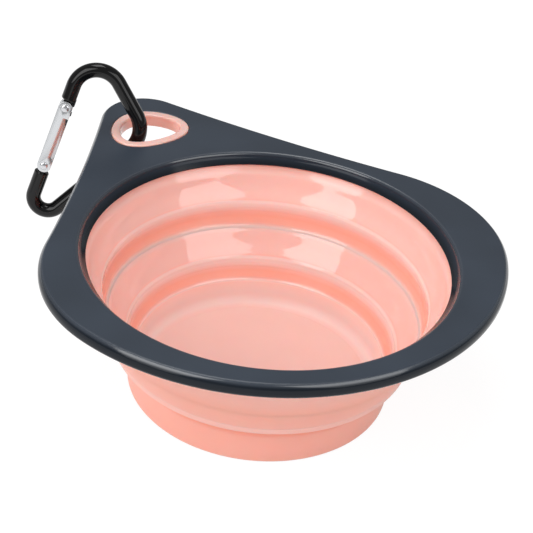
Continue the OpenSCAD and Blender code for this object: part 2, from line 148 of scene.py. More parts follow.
reach = put(tree, "ShaderNodeVectorMath", {"operation": "LENGTH"}, {0: (flat_spot, "Vector")})
# Painted shade on the wall of the opening, darker towards its seam with the soft bowl.
wall = put(tree, "ShaderNodeMapRange",
           {"From Min": (OPEN_R - 1.8) * MM, "From Max": (OPEN_R + 0.6) * MM,
            "To Min": 0.2, "To Max": 0.9}, {"Value": (reach, "Value")})
within = put(tree, "ShaderNodeMath", {"operation": "LESS_THAN", 1: (OPEN_R + 2) * MM},
             {0: (reach, "Value")})
wall = put(tree, "ShaderNodeMath", {"operation": "MULTIPLY"}, {0: (wall, "Result"), 1: (within, "Value")})
# The lighter of the two painted shades scales the slate colour.
painted_shade = put(tree, "ShaderNodeMath", {"operation": "MAXIMUM"}, {0: (side, "Result"), 1: (wall, "Value")})
tint = put(tree, "ShaderNodeVectorMath", {"operation": "SCALE"},
           {0: (tint, "Color"), "Scale": (painted_shade, "Value")})
print("slate colour", len(tree.nodes), "nodes")

# %% [markdown]
# ## Gloss of the rim plastic
# The texture of the top is a grain of about 0.4 mm, drawn at 0.7 mm so that it shows. Below it the
# edge is polished. Its reflection is strongest on the round just under the top, which draws fine
# streaks of light there. The edge runs level, so height alone is enough to place them.

# %% Slate plastic: gloss
grain = put(tree, "ShaderNodeTexNoise", {"Scale": 1 / (0.7 * MM), "Detail": 3.0, "Roughness": 0.6},
            {"Vector": (place, "Object")})
flat = put(tree, "ShaderNodeMapRange",
           {"From Min": (RIM_TOP - 0.5) * MM, "From Max": (RIM_TOP - 0.05) * MM}, {"Value": (spot, "Z")})
matt = put(tree, "ShaderNodeMapRange", {"To Min": 0.11, "To Max": 0.34}, {"Value": (flat, "Result")})
sheen = put(tree, "ShaderNodeMapRange", {"From Min": 0.2, "From Max": 0.8, "To Min": 0.9, "To Max": 1.1},
            {"Value": (grain, "Fac")})
sheen = put(tree, "ShaderNodeMath", {"operation": "MULTIPLY"}, {0: (sheen, "Result"), 1: (matt, "Result")})
height = put(tree, "ShaderNodeMapRange", {"From Min": (RIM_TOP - 2.0) * MM, "From Max": RIM_TOP * MM},
             {"Value": (spot, "Z")})
glint = put(tree, "ShaderNodeValToRGB", links={"Fac": (height, "Result")})
glint.color_ramp.elements[0].position, glint.color_ramp.elements[0].color = 0.5, (0.2, 0.2, 0.2, 1)
glint.color_ramp.elements[1].position, glint.color_ramp.elements[1].color = 1.0, (0.5, 0.5, 0.5, 1)
for streak_at in (0.72, 0.94):
    glint.color_ramp.elements.new(streak_at).color = (1, 1, 1, 1)
relief = put(tree, "ShaderNodeBump", {"Strength": 0.12, "Distance": 0.05 * MM}, {"Height": (grain, "Fac")})
skin = put(tree, "ShaderNodeBsdfPrincipled", {"IOR": 1.49},
           {"Base Color": (tint, "Vector"), "Roughness": (sheen, "Value"),
            "Specular IOR Level": (glint, "Color"), "Normal": (relief, "Normal")})
put(tree, "ShaderNodeOutputMaterial", links={"Surface": (skin, "BSDF")})
print("slate plastic", len(tree.nodes), "nodes")

# %% [markdown]
# ## Silicone
# The bowl is compression-moulded silicone, which lets a little light through. Its colour carries painted
# light: the thick lips get a pale painted highlight, and the thin folds and the recesses a deeper coral of
# painted shade and glow. Each mesh carries a painted-light number for this: below zero towards a lip, above
# zero into a fold. Below minus one the painted highlight turns warmer, for the top of the base's wall. The
# mould was polished for the bands inside and left matt in the folds, in the base and outside, which a
# number called matt tells apart.

# %% Peach silicone
silicone, tree = new_material("moulded_silicone_peach")
painted_light = put(tree, "ShaderNodeAttribute", {"attribute_name": "painted_light"})
place = put(tree, "ShaderNodeTexCoord")
cloud = put(tree, "ShaderNodeTexNoise", {"Scale": 1 / (18 * MM), "Detail": 2.0},
            {"Vector": (place, "Object")})
# Painted light: the number runs the ramp from a pale painted highlight to a coral painted shade.
ramp = put(tree, "ShaderNodeMapRange", {"From Min": -1.5, "From Max": 1.5}, {"Value": (painted_light, "Fac")})
shade = put(tree, "ShaderNodeValToRGB", links={"Fac": (ramp, "Result")})
shade.color_ramp.elements[0].position, shade.color_ramp.elements[0].color = 0.0, linear("#FFD3C8")
shade.color_ramp.elements[1].position, shade.color_ramp.elements[1].color = 1.0, linear("#FF9F84")
for at, code in ((1 / 6, "#F5D5CE"), (0.5, "#F6C1B6")):
    shade.color_ramp.elements.new(at).color = linear(code)
depth = put(tree, "ShaderNodeMapRange",
            {"From Min": 0.3, "From Max": 0.7, "To Min": 0.985, "To Max": 1.015}, {"Value": (cloud, "Fac")})
colour = put(tree, "ShaderNodeVectorMath", {"operation": "SCALE"},
             {0: (shade, "Color"), "Scale": (depth, "Result")})
matt = put(tree, "ShaderNodeAttribute", {"attribute_name": "matt"})
gloss = put(tree, "ShaderNodeMapRange", {"To Min": 0.05, "To Max": 0.5}, {"Value": (matt, "Fac")})
gloss = put(tree, "ShaderNodeVectorMath", {"operation": "SCALE"},
            {0: (gloss, "Result"), "Scale": (depth, "Result")})
glint = put(tree, "ShaderNodeMapRange", {"To Min": 1.0, "To Max": 0.25}, {"Value": (matt, "Fac")})
skin = put(tree, "ShaderNodeBsdfPrincipled",
           {"IOR": 1.41, "Subsurface Weight": 0.4, "Subsurface Radius": (1.0, 0.4, 0.25),
            "Subsurface Scale": 2.5 * MM},
           {"Base Color": (colour, "Vector"), "Roughness": (gloss, "Vector"),
            "Specular IOR Level": (glint, "Result")})
put(tree, "ShaderNodeOutputMaterial", links={"Surface": (skin, "BSDF")})
print("silicone", len(tree.nodes), "nodes")

# %% [markdown]
# ## Metals of the clip
# The rod is aluminium with a gloss black finish, smooth enough to carry long highlights. The
# rivets, the plunger and the spring wire are polished steel with faint marks.

# %% Black rod, rivets and wire
black, tree = new_material("anodised_aluminium_gloss_black")
place = put(tree, "ShaderNodeTexCoord")
wear = put(tree, "ShaderNodeTexNoise", {"Scale": 1 / (6 * MM), "Detail": 4.0},
           {"Vector": (place, "Object")})
film = put(tree, "ShaderNodeValToRGB", links={"Fac": (wear, "Fac")})
for stop, code in zip(film.color_ramp.elements, ("#040405", "#0B0B0D")):
    stop.color = linear(code)
rub = put(tree, "ShaderNodeMapRange", {"To Min": 0.06, "To Max": 0.1}, {"Value": (wear, "Fac")})
skin = put(tree, "ShaderNodeBsdfPrincipled", {"IOR": 1.5, "Specular IOR Level": 0.35},
           {"Base Color": (film, "Color"), "Roughness": (rub, "Result")})
put(tree, "ShaderNodeOutputMaterial", links={"Surface": (skin, "BSDF")})

polished, tree = new_material("polished_steel_rivet")
place = put(tree, "ShaderNodeTexCoord")
marks = put(tree, "ShaderNodeTexNoise", {"Scale": 1 / (0.6 * MM), "Detail": 2.0},
            {"Vector": (place, "Object")})
rub = put(tree, "ShaderNodeMapRange", {"To Min": 0.12, "To Max": 0.26}, {"Value": (marks, "Fac")})
skin = put(tree, "ShaderNodeBsdfPrincipled", {"Metallic": 1.0, "Base Color": linear("#D6D7DA")},
           {"Roughness": (rub, "Result")})
put(tree, "ShaderNodeOutputMaterial", links={"Surface": (skin, "BSDF")})
print("metals", [m.name for m in (black, polished)])

# %% [markdown]
# ## Meshes from rings of points
# Most pieces here are rows of rings joined by quads, and a level face between rings is filled with
# triangles. Modifiers could give the same shapes, but rings keep the faces in line with the edges,
# so highlights run evenly. Doubles are merged and faces turned outwards at the end.

# %% Helpers for meshes
def piece(name, mesh, material, sharp_deg=40):
    """Links a mesh as an object at the origin, smooth but for edges sharper than sharp_deg."""
    mesh.name = name
    mesh.materials.clear()
    mesh.materials.append(material)
    mesh.shade_smooth()
    mesh.set_sharp_from_angle(angle=math.radians(sharp_deg))
    obj = bpy.data.objects.new(name, mesh)
    bpy.context.scene.collection.objects.link(obj)
    print(name, len(mesh.polygons), "faces")
    return obj


def closed_mesh(bm):
    """Merges doubles, turns the faces outwards and gives back a mesh."""
    bmesh.ops.remove_doubles(bm, verts=bm.verts, dist=1e-7)
    bmesh.ops.dissolve_degenerate(bm, dist=1e-8, edges=bm.edges)
    bmesh.ops.recalc_face_normals(bm, faces=bm.faces)
    mesh = bpy.data.meshes.new("mesh")
    bm.to_mesh(mesh)
    bm.free()
    return mesh


def loft(bm, rings, around=True, back_to_start=False):
    """Quads between neighbouring rings of points, each ring closed if around is set."""
    rows = [[bm.verts.new(p) for p in ring] for ring in rings]
    pairs = list(zip(rows, rows[1:])) + ([(rows[-1], rows[0])] if back_to_start else [])
    for a, b in pairs:
        count = len(a)
        for i in range(count if around else count - 1):
            k = (i + 1) % count
            bm.faces.new((a[i], a[k], b[k], b[i]))
    return rows


def fill_flat(bm, outer, holes):
    """Triangles over a level face bounded by rings of existing vertices."""
    verts, edges = [], []
    for ring in [outer] + holes:
        start = len(verts)
        verts += ring
        edges += [(start + i, start + (i + 1) % len(ring)) for i in range(len(ring))]
    flat = [Vector((v.co.x, v.co.y)) for v in verts]
    found = delaunay_2d_cdt(flat, edges, [], 1, 1e-9)
    inside = [np.array([(v.co.x, v.co.y) for v in ring]) for ring in holes]
    for tri in found[2]:
        mid = sum((Vector(found[0][i]) for i in tri), Vector((0, 0))) / 3
        if not any(in_ring(mid, ring) for ring in inside):
            bm.faces.new([verts[found[3][i][0]] for i in tri])


def in_ring(point, ring):
    """Whether a flat point lies inside a closed ring."""
    x, y = ring[:, 0], ring[:, 1]
    nx, ny = np.roll(x, -1), np.roll(y, -1)
    cross = (y > point.y) != (ny > point.y)
    with np.errstate(divide="ignore", invalid="ignore"):
        at = (nx - x) * (point.y - y) / (ny - y) + x
    return bool(np.count_nonzero(cross & (point.x < at)) % 2)


print("mesh helpers ready")

# %% [markdown]
# ## The rim plate
# In plan the rim is a chain of tangent arcs: the tab's end, two faintly hollow flanks, two wings
# and the long front, which lean a little to one side of the tab's line. A loft carries one edge
# section along that chain, and the flat top is filled between the edge, the opening and the
# eyelet. This gives cleaner highlights than facets.

# %% Rim outline
FRONT_REACH = 68.7
WING_X, WING_Y, WING_R, WING_SHIFT, WING_LEAN = 27.0, -2.6, 49.3, 1.9, -6.5
TAB_C, TAB_R, FLANK_R = np.array([-1.2, 90.0]), 16.0, 680.0


def flat_way(degrees):
    """Flat direction at a turn in degrees."""
    return np.array([math.cos(math.radians(degrees)), math.sin(math.radians(degrees))])


def heading(v):
    """Turn of a flat direction in degrees."""
    return math.degrees(math.atan2(v[1], v[0]))


def flank_centre(wing, side):
    """Centre of the hollow arc that touches the tab's end and a wing."""
    way = wing - TAB_C
    gap = np.linalg.norm(way)
    way = way / gap
    to_tab, to_wing = TAB_R + FLANK_R, WING_R + FLANK_R
    reach = ((to_tab ** 2 - to_wing ** 2) / gap + gap) / 2
    return TAB_C + way * reach + side * np.array([-way[1], way[0]]) * math.sqrt(to_tab ** 2 - reach ** 2)


def arc(centre, radius, start, stop, step=0.9, hollow=False):
    """Points and outward directions along an arc, about step millimetres apart."""
    count = max(2, int(abs(math.radians(stop - start)) * radius / step))
    turn = np.radians(start + (stop - start) * np.arange(count) / count)
    out = np.stack([np.cos(turn), np.sin(turn)], 1)
    return np.array(centre) + radius * out, (-out if hollow else out)


lean = flat_way(WING_LEAN)
upright = np.array([-lean[1], lean[0]])
wing_right = lean * (WING_SHIFT + WING_X) + upright * WING_Y
wing_left = lean * (WING_SHIFT - WING_X) + upright * WING_Y
front_gap = FRONT_REACH - WING_R
front_up = (WING_X ** 2 + WING_Y ** 2 - front_gap ** 2) / (2 * (front_gap + WING_Y))
front_c = lean * WING_SHIFT + upright * front_up
flank_right, flank_left = flank_centre(wing_right, 1), flank_centre(wing_left, -1)
chain = [
    arc(front_c, front_up + FRONT_REACH, heading(wing_left - front_c), heading(wing_right - front_c)),
    arc(wing_right, WING_R, heading(wing_right - front_c), heading(flank_right - wing_right)),
    arc(flank_right, FLANK_R, heading(wing_right - flank_right), heading(TAB_C - flank_right),
        hollow=True),
    arc(TAB_C, TAB_R, heading(flank_right - TAB_C), heading(flank_left - TAB_C), step=0.45),
    arc(flank_left, FLANK_R, heading(TAB_C - flank_left), heading(wing_left - flank_left),
        hollow=True),
    arc(wing_left, WING_R, heading(flank_left - wing_left), heading(wing_left - front_c) + 360),
]
outline = np.concatenate([points for points, _ in chain])
outward = np.concatenate([ways for _, ways in chain])
print("outline", len(outline), "points, box", outline.min(0).round(2), outline.max(0).round(2))

# %% [markdown]
# ## The eyelet's outline
# The hole in the tab is a triangle with round corners and sides that bulge a little. It could be a
# hand-drawn curve. Here it is a smooth blend of three circles, so one rule gives the outline at any
# margin, for the edge of the hole and for every ring of its liner.

# %% Eyelet outline, shared by rim and liner
EYELET_C = [(3.9097, 81.5683), (-10.7097, 80.0317), (-3.9017, 85.5737)]
EYELET_R = [6.7, 6.7, 9.6]
EYELET_BULGE = 1.5


def eyelet(margin, count=240):
    """The eyelet's rounded triangle with bulging sides, drawn in by a margin, evenly spaced."""
    turn = np.linspace(0, 2 * np.pi, 4000, endpoint=False)
    out, side = (np.stack([np.cos(t), np.sin(t)], 1) for t in (turn, turn + np.pi / 2))
    hard = math.log(2) / EYELET_BULGE
    reach = out @ np.array(EYELET_C).T + np.array(EYELET_R)
    most = np.log(np.exp(hard * (reach - reach.max(1, keepdims=True))).sum(1, keepdims=True)) / hard
    most += reach.max(1, keepdims=True)
    slide = (np.exp(hard * (reach - most)) * (side @ np.array(EYELET_C).T)).sum(1, keepdims=True)
    points = (most - margin) * out + slide * side
    step = np.linalg.norm(np.roll(points, -1, 0) - points, axis=1)
    along = np.concatenate([[0], np.cumsum(step)])
    ring = np.vstack([points, points[:1]])
    even = np.linspace(0, along[-1], count, endpoint=False)
    return np.stack([np.interp(even, along, ring[:, k]) for k in (0, 1)], 1)


def circle(radius, count=288):
    """Points round the bowl's axis."""
    turn = np.linspace(0, 2 * np.pi, count, endpoint=False)
    return radius * np.stack([np.cos(turn), np.sin(turn)], 1)


def level(points, z):
    """Flat millimetre points as 3-D metre points at a height."""
    return [Vector((x * MM, y * MM, z * MM)) for x, y in points]


print("eyelet", eyelet(0).min(0).round(2), eyelet(0).max(0).round(2))

# %% [markdown]
# ## The rim's mesh
# The flat top breaks into a large round at the side and a small one below it. The opening has a
# rounded edge too, and its wall leans in to the seam with the soft bowl. Each section is a short
# list of (inset or radius, height), and a loft carries it round.

# %% Rim plate mesh
SIDE_R, LOW_R, BREAK_DEG = 3.0, 1.5, 60
edge = [(2.1, 0.0), (1.8, 0.0)]
for a in np.linspace(BREAK_DEG, 0, 9):
    t = math.radians(a)
    edge.append((SIDE_R * (1 - math.cos(t)), SIDE_R * (math.sin(t) - math.sin(math.radians(BREAK_DEG)))))
for a in np.linspace(0, 90, 7):
    t = math.radians(a)
    edge.append((LOW_R * (1 - math.cos(t)), RIM_LOW - RIM_TOP + LOW_R * (1 - math.sin(t))))
edge.append((LOW_R + 0.5, RIM_LOW - RIM_TOP))

OPEN_EDGE = 1.4
SEAM_R, SEAM_Z, SEAT_R = 58.0, 46.9, 63.45
LEAN_R, LEAN_Z = 59.3, 48.6
mouth = [(OPEN_R + OPEN_EDGE + 0.4, RIM_TOP)]
for a in np.linspace(90, 0, 9):
    t = math.radians(a)
    mouth.append((OPEN_R + OPEN_EDGE * (1 - math.cos(t)), RIM_TOP - OPEN_EDGE * (1 - math.sin(t))))
mouth += [(LEAN_R, LEAN_Z), (SEAM_R + 0.2, SEAM_Z + 0.25), (SEAM_R, SEAM_Z + 0.1),
          (SEAM_R + 0.2, SEAM_Z + 0.02), (SEAT_R, SEAM_Z + 0.02), (SEAT_R, RIM_LOW + 0.4),
          (SEAT_R + 0.4, RIM_LOW), (SEAT_R + 0.8, RIM_LOW)]
slot_edge = [(-0.9, RIM_TOP), (-0.55, RIM_TOP), (-0.25, RIM_TOP - 0.12), (-0.12, RIM_TOP - 0.45),
             (-0.12, RIM_LOW + 0.3), (-0.4, RIM_LOW), (-0.8, RIM_LOW)]

bm = bmesh.new()
outer_rows = loft(bm, [level(outline - d * outward, RIM_TOP + z) for d, z in edge])
mouth_rows = loft(bm, [level(circle(r), z) for r, z in mouth])
slot_rows = loft(bm, [level(eyelet(m), z) for m, z in slot_edge])
fill_flat(bm, outer_rows[0], [mouth_rows[0], slot_rows[0]])
fill_flat(bm, outer_rows[-1], [mouth_rows[-1], slot_rows[-1]])
rim = piece("rim_plate", closed_mesh(bm), slate, 50)
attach(rim, "rim")
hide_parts("rim_frame")

# %% [markdown]
# ## The soft bowl
# One silicone moulding, turned about the bowl's axis. Its bands are thick and slanted, its folds thin and
# steep, with a rounded lip wherever they meet. It is made in two meshes: the upper one runs from rim to
# middle band, the lower one from middle band to base.

# %% Turned profiles
BASE_Z, BASE_MATT, FOLD_MATT = 10.4, 0.75, 0.8


def rounded(corners, step=0.7, bends=6, share=0.48):
    """Profile points (r, z, painted light) through corners (r, z, bend radius, painted light). The arc at a
    bend takes at most a share of the sides beside it."""
    pts = [np.array(c, float) for c in corners]
    found = []
    for i, p in enumerate(pts):
        if i in (0, len(pts) - 1) or p[2] <= 0:
            found.append((p[0], p[1], p[3]))
            continue
        a, b = pts[i - 1][:2] - p[:2], pts[i + 1][:2] - p[:2]
        la, lb = np.linalg.norm(a), np.linalg.norm(b)
        a, b = a / la, b / lb
        half = math.acos(max(-1, min(1, float(a @ b)))) / 2
        reach = min(p[2] / math.tan(half), share * la, share * lb)
        radius = reach * math.tan(half)
        centre = p[:2] + (a + b) / np.linalg.norm(a + b) * radius / math.sin(half)
        u, v = p[:2] + a * reach - centre, p[:2] + b * reach - centre
        for t in np.linspace(0, 1, bends):
            w = u * (1 - t) + v * t
            spot = centre + w / np.linalg.norm(w) * radius
            found.append((spot[0], spot[1], p[3]))
    dense = [found[0]]
    for a, b in zip(found, found[1:]):
        gap = math.hypot(b[0] - a[0], b[1] - a[1])
        parts = max(1, math.ceil(gap / step))
        for t in np.arange(1, parts + 1) / parts:
            dense.append(tuple(a[k] + (b[k] - a[k]) * t for k in range(3)))
    return dense


def revolved(name, inner, outer, material, count=288, sharp_deg=50):
    """A closed solid of revolution whose vertices carry the painted light of lips and folds, and matt
    outside, in the folds and in the base."""
    turn = np.linspace(0, 2 * np.pi, count, endpoint=False)
    profile = inner + outer
    bm = bmesh.new()
    painted_light_layer, matt_layer = (bm.verts.layers.float.new(label) for label in ("painted_light", "matt"))
    rings = [[Vector((r * MM * math.cos(t), r * MM * math.sin(t), z * MM)) for t in turn]
             for r, z, _ in profile]
    rows = loft(bm, rings, back_to_start=profile[0][0] > 0)
    for i, (row, (_, z, value)) in enumerate(zip(rows, profile)):
        inside = BASE_MATT if z < BASE_Z else FOLD_MATT * max(0.0, min(1.0, value))
        for v in row:
            v[painted_light_layer], v[matt_layer] = value, inside if i < len(inner) else 1.0
    return piece(name, closed_mesh(bm), material, sharp_deg)


PART_Z = 26.0
# Corners are (r, z, bend radius, painted light): a pale painted highlight on the lips below zero, a coral
# painted shade in the folds above zero.
upper_in = [
    (58.8, 46.85, 0, 0.9), (58.75, 46.3, 0.3, 0.5), (57.45, 44.2, 0.6, -0.25), (57.0, 43.4, 0, 0.0),
    (55.54, 39.61, 40, 0.0), (53.2, 36.3, 0, 0.0), (52.95, 35.85, 0.2, 0.35), (52.75, 35.5, 0.3, -0.8),
    (52.45, 34.7, 0.9, -1.0), (52.5, 33.6, 0.8, -0.9), (52.65, 32.6, 0.8, -0.3), (52.65, 31.2, 0.8, 0.7),
    (52.3, 29.6, 3.0, 1.0), (51.55, 27.6, 0.8, 0.8), (51.2, 26.85, 0.8, 0.2), (50.85, 26.4, 0.8, -0.2),
    (50.3, PART_Z, 0, -0.3),
]
upper_out = [
    (52.3, PART_Z, 0, 0.8), (52.64, 27.0, 0, 0.75), (54.2, 31.0, 3.0, 0.4), (55.4, 34.6, 1.5, 0.2),
    (59.5, 43.0, 1.0, 0.1), (60.6, 44.5, 0.8, 0.1), (63.3, 44.5, 0.8, 0.0), (63.3, 46.85, 0, 0.0),
]
bowl_upper = revolved("soft_bowl_upper", rounded(upper_in), rounded(upper_out), silicone)
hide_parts("upper_wall", "upper_fold")
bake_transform(bowl_upper)

# %% [markdown]
# ## Lower part of the soft bowl
# The lower mesh starts where the upper one ends, on a lip, so the seam between them does not show.
# It carries the lower fold, the lowest band and the floor, which stands on a ring foot.

# %% Lower part of the soft bowl
# The top of the base's wall and the floor are painted paler, and the lower fold gets a coral painted shade.
lower_in = [
    (50.3, PART_Z, 0, -0.3), (50.0, 25.55, 0.6, -0.2), (49.5, 24.9, 0, 0.0), (47.55, 21.59, 40, 0.0),
    (44.95, 18.75, 0, 0.0), (44.7, 18.4, 0.2, 0.35), (44.45, 18.05, 0.3, -0.8), (44.05, 17.3, 0.9, -1.0),
    (43.95, 16.3, 0.6, -1.0), (43.75, 15.5, 0.6, -0.4), (43.3, 14.5, 0.8, 0.6), (42.6, 13.2, 3.0, 1.0),
    (41.6, 11.6, 0.8, 0.9), (41.2, 10.95, 0.3, 0.2), (40.8, 10.5, 0.3, -0.7), (40.6, 9.9, 0.3, -1.4),
    (39.6, 3.6, 4.0, -0.9), (36.2, 2.0, 4.0, -0.3), (35.2, 2.05, 0, -0.35), (34.7, 2.1, 0, -0.35),
    (20.0, 2.1, 0, -0.3), (0.0, 2.1, 0, -0.3),
]
# Outside, the recess under the lip above the lowest band gets a coral painted shade.
lower_out = [
    (0.0, 0.4, 0, 0.0), (36.0, 0.4, 0, 0.0), (36.6, 0.0, 0.2, 0.0), (41.6, 0.0, 0, 0.4),
    (43.15, 0.0, 0.6, 0.6), (43.75, 10.2, 0.5, 0.6), (43.6, 11.2, 0.6, 0.9), (43.7, 13.0, 1.2, 1.3),
    (45.2, 15.0, 1.2, 1.4), (47.6, 15.6, 0.6, 1.3), (48.4, 15.8, 0.5, 0.5), (48.95, 16.4, 0.6, 0.0),
    (49.1, 18.2, 0.5, 0.0), (49.5, 18.8, 0.4, 0.5), (51.92, 24.9, 0, 0.7), (52.3, PART_Z, 0, 0.8),
]
bowl_lower = revolved("soft_bowl_lower", rounded(lower_in), rounded(lower_out), silicone)
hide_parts("middle_wall", "lower_fold", "base_cup")
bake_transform(bowl_lower)

# %% [markdown]
# ## The eyelet liner
# A soft ring pressed into the tab's hole. It stands a little proud, and its top edges are rounded,
# so a thin dark line shows round it. The same rounded-triangle rule gives every ring of the loft.

# %% Eyelet ring
LINER_TOP, LINER_LOW, LINER_WALL, LINER_EDGE = 50.75, 46.25, 3.2, 0.8
# Painted light on the liner: its top is painted pale, and the wall of its hole and its outer side in the
# slot get a coral painted shade.
section = [(0.1, LINER_LOW + 0.3, 0.3), (0.06, LINER_TOP - 0.5, 0.5), (0.16, LINER_TOP - 0.2, 0.2),
           (0.4, LINER_TOP - 0.04, 0.0), (0.8, LINER_TOP, -0.2), (2.2, LINER_TOP, -0.2)]
for t in np.radians(np.linspace(90, 0, 7)):
    section.append((LINER_WALL - LINER_EDGE * (1 - math.cos(t)),
                    LINER_TOP - LINER_EDGE * (1 - math.sin(t)), 0.75 - 0.9 * math.sin(t)))
section += [(LINER_WALL, LINER_LOW + 0.6, 0.75), (LINER_WALL - 0.2, LINER_LOW + 0.15, 0.7),
            (LINER_WALL - 0.6, LINER_LOW, 0.4), (0.6, LINER_LOW, 0.3)]
bm = bmesh.new()
painted_light_layer = bm.verts.layers.float.new("painted_light")
rows = loft(bm, [level(eyelet(m), z) for m, z, _ in section], back_to_start=True)
for row, (_, _, value) in zip(rows, section):
    for v in row:
        v[painted_light_layer] = value
liner = piece("eyelet_ring", closed_mesh(bm), silicone, 60)
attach(liner, "rim")
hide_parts("eyelet_liner")

# %% [markdown]
# ## The clip's rod
# A round rod bent into a loop with three bends. Geometry Nodes sweep a circle along the rod's
# centre line, and a number on each point thins the rod at its two cut ends.

# %% Clip axes and centre line
swing = JOINTS["clip_swing"]
CLIP_C = Vector(swing["pos_m"])
CLIP_M = Vector(swing["axis"]).normalized()
CLIP_TURN = -30
CLIP_U = Vector((*flat_way(CLIP_TURN), 0))
CLIP_V = CLIP_M.cross(CLIP_U)
ROD_R, ROD_POINTS = 2.6, 520
BENDS = {"low": ((-22.3575, -25.3603), 5.0), "top": ((-6.7362, 14.015), 8.6),
         "hook": ((-1.4925, 2.6029), 10.2)}
GATE_AT, ARM_AT, BACK_AT, GATE_TURN = 163.2355, 31.9972, -45.3, 73.2355
HINGE_ALONG, LATCH_ALONG, GATE_SIDE = 11.3961, 22.5811, 42.2076
SHOULDER_LOW, SHOULDER_TOP = -2.75, LATCH_ALONG + 2.75

clip_place = Matrix((CLIP_U, CLIP_V, CLIP_M)).transposed().to_4x4()
clip_place.translation = CLIP_C
gate_place = clip_place @ Matrix.Rotation(math.radians(GATE_TURN), 4, "Z")
gate_place.translation = Vector(JOINTS["gate_hinge"]["pos_m"])
gate_along = flat_way(GATE_TURN)
low_end = np.array(BENDS["low"][0]) + BENDS["low"][1] * flat_way(GATE_AT)
hinge_flat = low_end + gate_along * HINGE_ALONG

path = [hinge_flat + gate_along * x for x in np.linspace(SHOULDER_LOW, -HINGE_ALONG, 14)[:-1]]
path += list(arc(*BENDS["low"], GATE_AT, 360 + BACK_AT, step=0.25)[0])
path += list(arc(*BENDS["hook"], BACK_AT, ARM_AT, step=0.25)[0])
path += list(arc(*BENDS["top"], ARM_AT, GATE_AT, step=0.3)[0])
path += [hinge_flat + gate_along * x for x in np.linspace(GATE_SIDE - HINGE_ALONG, SHOULDER_TOP, 16)]
path = np.array(path)
steps = np.linalg.norm(np.diff(path, axis=0), axis=1)
even = np.linspace(0, steps.sum(), ROD_POINTS)
reached = np.concatenate([[0], np.cumsum(steps)])
path = np.stack([np.interp(even, reached, path[:, k]) for k in (0, 1)], 1)
print("rod", round(float(steps.sum()), 1), "mm long")

# %% [markdown]
# ## Sweeping the rod
# A curve with a round bevel would give the same tube. A tree of nodes is used because its sizes are
# named inputs and it serves the spring's wire as well. Its result is turned into a plain mesh.

# %% Rod swept by Geometry Nodes
def sweep_tree():
    """A tree that sweeps a circle along the mesh's edges, scaled by its thickness number."""
    tree = bpy.data.node_groups.new("round_sweep", "GeometryNodeTree")
    inputs = {"Geometry": "Geometry", "Radius": "Float", "Sides": "Int", "Material": "Material"}
    for label, kind in inputs.items():
        tree.interface.new_socket(label, in_out="INPUT", socket_type="NodeSocket" + kind)
    tree.interface.new_socket("Geometry", in_out="OUTPUT", socket_type="NodeSocketGeometry")
    start = put(tree, "NodeGroupInput")
    line = put(tree, "GeometryNodeMeshToCurve", links={"Mesh": (start, "Geometry")})
    ring = put(tree, "GeometryNodeCurvePrimitiveCircle", {"mode": "RADIUS"},
               {"Radius": (start, "Radius"), "Resolution": (start, "Sides")})
    scale = put(tree, "GeometryNodeInputNamedAttribute", {"data_type": "FLOAT", "Name": "thickness"})
    tube = put(tree, "GeometryNodeCurveToMesh", {"Fill Caps": True},
               {"Curve": (line, "Curve"), "Profile Curve": (ring, "Curve"),
                "Scale": (scale, "Attribute")})
    real = put(tree, "GeometryNodeRealizeInstances", links={"Geometry": (tube, "Mesh")})
    paint = put(tree, "GeometryNodeSetMaterial",
                links={"Geometry": (real, "Geometry"), "Material": (start, "Material")})
    put(tree, "NodeGroupOutput", links={"Geometry": (paint, "Geometry")})
    return tree


round_sweep = sweep_tree()


def swept(name, points, thickness, sizes):
    """Runs the sweep over a chain of points, with its named sizes, and gives back a plain mesh."""
    mesh = bpy.data.meshes.new(name)
    mesh.from_pydata([tuple(p) for p in points], [(i, i + 1) for i in range(len(points) - 1)], [])
    scales = mesh.attributes.new("thickness", "FLOAT", "POINT").data
    scales.foreach_set("value", np.asarray(thickness, np.float32))
    obj = bpy.data.objects.new(name, mesh)
    bpy.context.scene.collection.objects.link(obj)
    sweep = obj.modifiers.new("sweep", "NODES")
    sweep.node_group = round_sweep
    for item in round_sweep.interface.items_tree:
        if item.name in sizes:
            sweep[item.identifier] = sizes[item.name]
    made = bpy.data.meshes.new_from_object(obj.evaluated_get(bpy.context.evaluated_depsgraph_get()))
    bpy.data.objects.remove(obj)
    return made


END_THIN, END_REACH = 0.16, 0.45
from_ends = np.minimum(even, even[-1] - even)
thin = 1 - END_THIN * np.clip(1 - from_ends / END_REACH, 0, 1) ** 2
rod_mesh = swept("rod_line", [clip_place @ Vector((x * MM, y * MM, 0)) for x, y in path], thin,
                 {"Radius": ROD_R * MM, "Sides": 40, "Material": black})
print("rod mesh", len(rod_mesh.polygons), "faces")

# %% [markdown]
# ## The rod's two ends
# Each end of the rod is milled to a flat tongue that stands between the cheeks of the gate. The
# lower one has the rivet's hole, the upper one a notch for the latch pin. They are flat outlines
# given a thickness, with eased edges, and belong to the same piece as the rod.

# %% Tongues at the rod's two ends
SHARP_EDGE = 0.6  # radians between two faces


def slab(outline, holes, half, place, bevel=0.0):
    """A flat plate with holes, from flat millimetre outlines, set in place, with eased edges."""
    bm = bmesh.new()
    caps = []
    for z in (-half, half):
        caps.append([[bm.verts.new((x * MM, y * MM, z * MM)) for x, y in ring]
                     for ring in [outline] + holes])
        fill_flat(bm, caps[-1][0], caps[-1][1:])
    for low, high in zip(*caps):
        for i in range(len(low)):
            k = (i + 1) % len(low)
            bm.faces.new((low[i], low[k], high[k], high[i]))
    bmesh.ops.recalc_face_normals(bm, faces=bm.faces)
    if bevel:
        sharp = [e for e in bm.edges if len(e.link_faces) == 2 and e.calc_face_angle(0) > SHARP_EDGE]
        bmesh.ops.bevel(bm, geom=sharp, offset=bevel * MM, segments=2, profile=0.6, affect="EDGES")
    bm.transform(place)
    return bm


def half_turn(cx, cy, r, start, stop, count=24):
    """Flat points along part of a circle."""
    turns = np.radians(np.linspace(start, stop, count))
    return [(cx + r * math.cos(t), cy + r * math.sin(t)) for t in turns]


